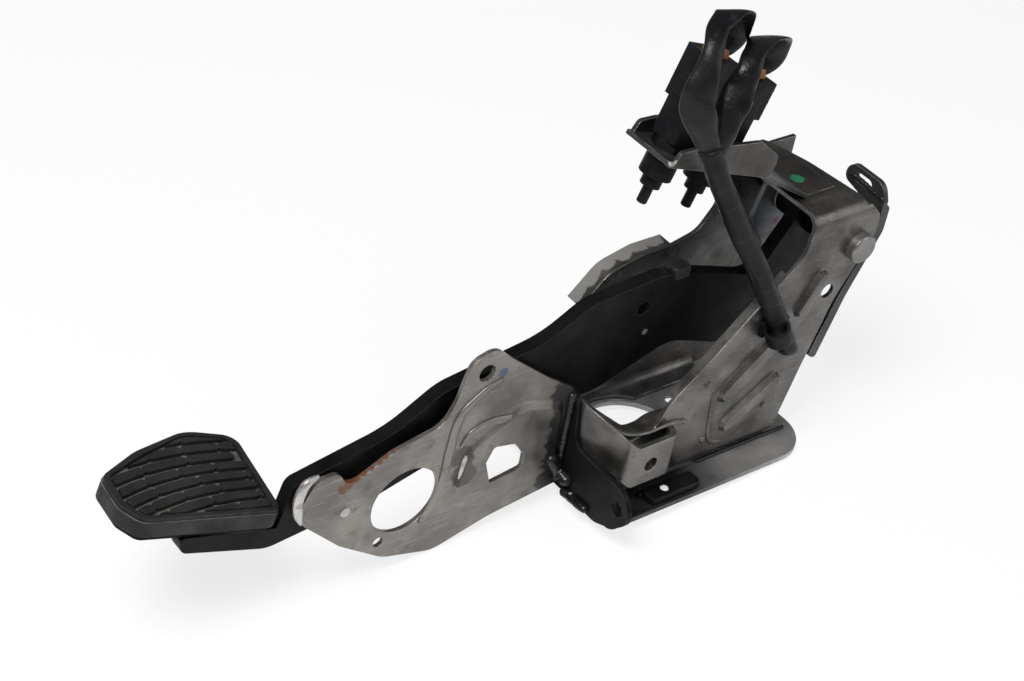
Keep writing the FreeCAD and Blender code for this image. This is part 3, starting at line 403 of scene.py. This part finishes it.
UPWARD = (0, 0, 1)
NEARWARD = (0, -1, 0)
STAY_RIDGE_Y = -11.3
WALL_FACE_Y = -36
HEEL_IN = 33.8
HEEL_OUT = 35.8
HEEL_OUTLINE = [(64, 3), (95, 3), (101, 12), (106, 49), (113, 80), (113, 132), (96, 132), (88, 92), (78, 49)]
sheet_piece("far_wall_heel", HEEL_OUTLINE, HEEL_IN, HEEL_OUT, FAR_STEEL_PAINTED_LIGHT)
ribbon("web_lip", [
    (-57, -7, 60, 3, 2.4), (-51, -15, 53, 5, 2.6), (-44, -24, 47.5, 7, 3), (-37, -29.5, 43, 9, 3.5),
    (-26, -31, 41.5, 12, 4), (-16, -30.5, 42, 14, 5), (-6, -31.5, 42, 14, 6), (0, -34, 40.5, 9, 5),
    (2, -36, 39, 4, 3),
], STEEL, UPWARD)


def on_plane(y, rows):
    """Rows for a ribbon on a sheet at one Y, from rows of x, z, width and thickness."""
    return [(x, y, z, width, thick) for x, z, width, thick in rows]


ribbon("stay_crease_long", on_plane(STAY_RIDGE_Y, [
    (-110, 91, 2, 1), (-118, 88, 4, 2), (-127, 82, 5, 2.2), (-134, 74, 5.5, 2.4), (-137, 55, 5.5, 2.4),
    (-139, 33, 5, 2.2), (-149, 11, 3, 1),
]), STAY, NEARWARD)
ribbon("stay_crease_short", on_plane(STAY_RIDGE_Y, [
    (-83, 58, 3, 1), (-101, 62, 5, 2.2), (-114, 64, 5, 2.2), (-125, 61, 4, 2), (-130, 54, 2, 1),
]), STAY, NEARWARD)
# Painted highlight: this ridge takes the lighter lip steel.
ribbon("stay_strip", on_plane(STAY_RIDGE_Y, [
    (-126, 47, 1.5, 1), (-126, 44, 4, 2), (-127, 34, 4, 2), (-127, 31, 1.5, 1),
]), LIP_HIGHLIT_STEEL, NEARWARD)
ribbon("stay_lip", [
    (-216, -11.5, 70, 2, 1.5), (-223, -12, 68, 5, 4), (-226.5, -12, 60, 5.5, 4.5), (-226, -12, 50, 5, 4),
    (-223, -11.5, 42, 2, 1.5),
], LIP_HIGHLIT_STEEL, NEARWARD)
ribbon("wall_crease", on_plane(WALL_FACE_Y, [
    (18, 53, 2, 0.8), (20, 40, 3.5, 1.6), (22, 24, 3.5, 1.6), (26, 16, 3.5, 1.6), (34, 13, 2, 0.8),
]), STEEL, NEARWARD)
for number, (x, z) in enumerate(((12, 61), (61, 29), (19, 20))):
    ribbon("wall_dimple_%d" % number, on_plane(WALL_FACE_Y, [
        (x - 2, z, 0.8, 0.6), (x - 1.3, z, 3, 1.6), (x, z, 4, 2), (x + 1.3, z, 3, 1.6), (x + 2, z, 0.8, 0.6),
    ]), STEEL, NEARWARD)

# The part rests on the stay's lower edge and on the rear edge of its base, so the floor lies at a slope.
STAY_DROP = 13.0
REST_SPAN = 229.0
FLOOR_Z = -0.0052
FLOOR_SIZE = 8.0
FLOOR_GLOW = 0.98
FLOOR_SEEN = 0.8
tilt = math.atan2(STAY_DROP, REST_SPAN)
bpy.ops.mesh.primitive_plane_add(size=FLOOR_SIZE, location=(0, 0, FLOOR_Z))
floor = bpy.context.object
floor.name = "floor"
floor.rotation_euler = (0, -tilt, 0)
pale = bpy.data.materials.new("floor_white")
pale.use_nodes = True
tree = pale.node_tree
shade = tree.nodes["Principled BSDF"]
shade.inputs["Base Color"].default_value = (0.9, 0.9, 0.9, 1)
shade.inputs["Roughness"].default_value = 0.9
glow = tree.nodes.new("ShaderNodeEmission")
glow.inputs["Color"].default_value = (1, 1, 1, 1)
glow.inputs["Strength"].default_value = FLOOR_GLOW
path = tree.nodes.new("ShaderNodeLightPath")
share = tree.nodes.new("ShaderNodeMath")
share.operation = "MULTIPLY"
share.inputs[1].default_value = FLOOR_SEEN
tree.links.new(path.outputs["Is Camera Ray"], share.inputs[0])
both = tree.nodes.new("ShaderNodeMixShader")
tree.links.new(share.outputs[0], both.inputs[0])
tree.links.new(shade.outputs[0], both.inputs[1])
tree.links.new(glow.outputs[0], both.inputs[2])
tree.links.new(both.outputs[0], tree.nodes["Material Output"].inputs["Surface"])
floor.data.materials.append(pale)

SKY_LIGHT = 0.16
SKY_SEEN = 0.8
world = bpy.data.worlds.new("studio")
scene.world = world
world.use_nodes = True
sky = world.node_tree.nodes["Background"]
sky.inputs["Color"].default_value = (1, 1, 1, 1)
seen = world.node_tree.nodes.new("ShaderNodeLightPath")
pale_sky = world.node_tree.nodes.new("ShaderNodeMath")
pale_sky.operation = "MULTIPLY_ADD"
pale_sky.inputs[1].default_value = SKY_SEEN
pale_sky.inputs[2].default_value = SKY_LIGHT
world.node_tree.links.new(seen.outputs["Is Camera Ray"], pale_sky.inputs[0])
world.node_tree.links.new(pale_sky.outputs[0], sky.inputs["Strength"])


def lamp(name, at, aim, size, power):
    """A square soft lamp in metres and watts, turned to a point."""
    data = bpy.data.lights.new(name, "AREA")
    data.size = size
    data.energy = power
    made = bpy.data.objects.new(name, data)
    made.location = at
    made.rotation_euler = (Vector(aim) - Vector(at)).to_track_quat("-Z", "Y").to_euler()
    scene.collection.objects.link(made)


LAMP_AIM = (0, 0, 0.05)
lamp("key", (-0.9, -0.2, 1.5), LAMP_AIM, 0.7, 34)
lamp("fill", (0.9, -1.1, 0.9), LAMP_AIM, 1.2, 9)

CAMERA_AT = mm(-675.7, -616.5, 739.3)
CAMERA_RIGHT = Vector((0.79319, -0.59108, 0.14655))
CAMERA_UP = Vector((0.27026, 0.55733, 0.78508))
CAMERA_BACK = Vector((-0.54572, -0.58311, 0.60181))
data = bpy.data.cameras.new("camera")
data.lens = 75.0
data.sensor_width = 36.0
camera = bpy.data.objects.new("camera", data)
turn = Matrix((CAMERA_RIGHT, CAMERA_UP, CAMERA_BACK)).transposed().to_4x4()
camera.matrix_world = Matrix.Translation(CAMERA_AT) @ turn
scene.collection.objects.link(camera)
scene.camera = camera
scene.view_settings.view_transform = "Standard"
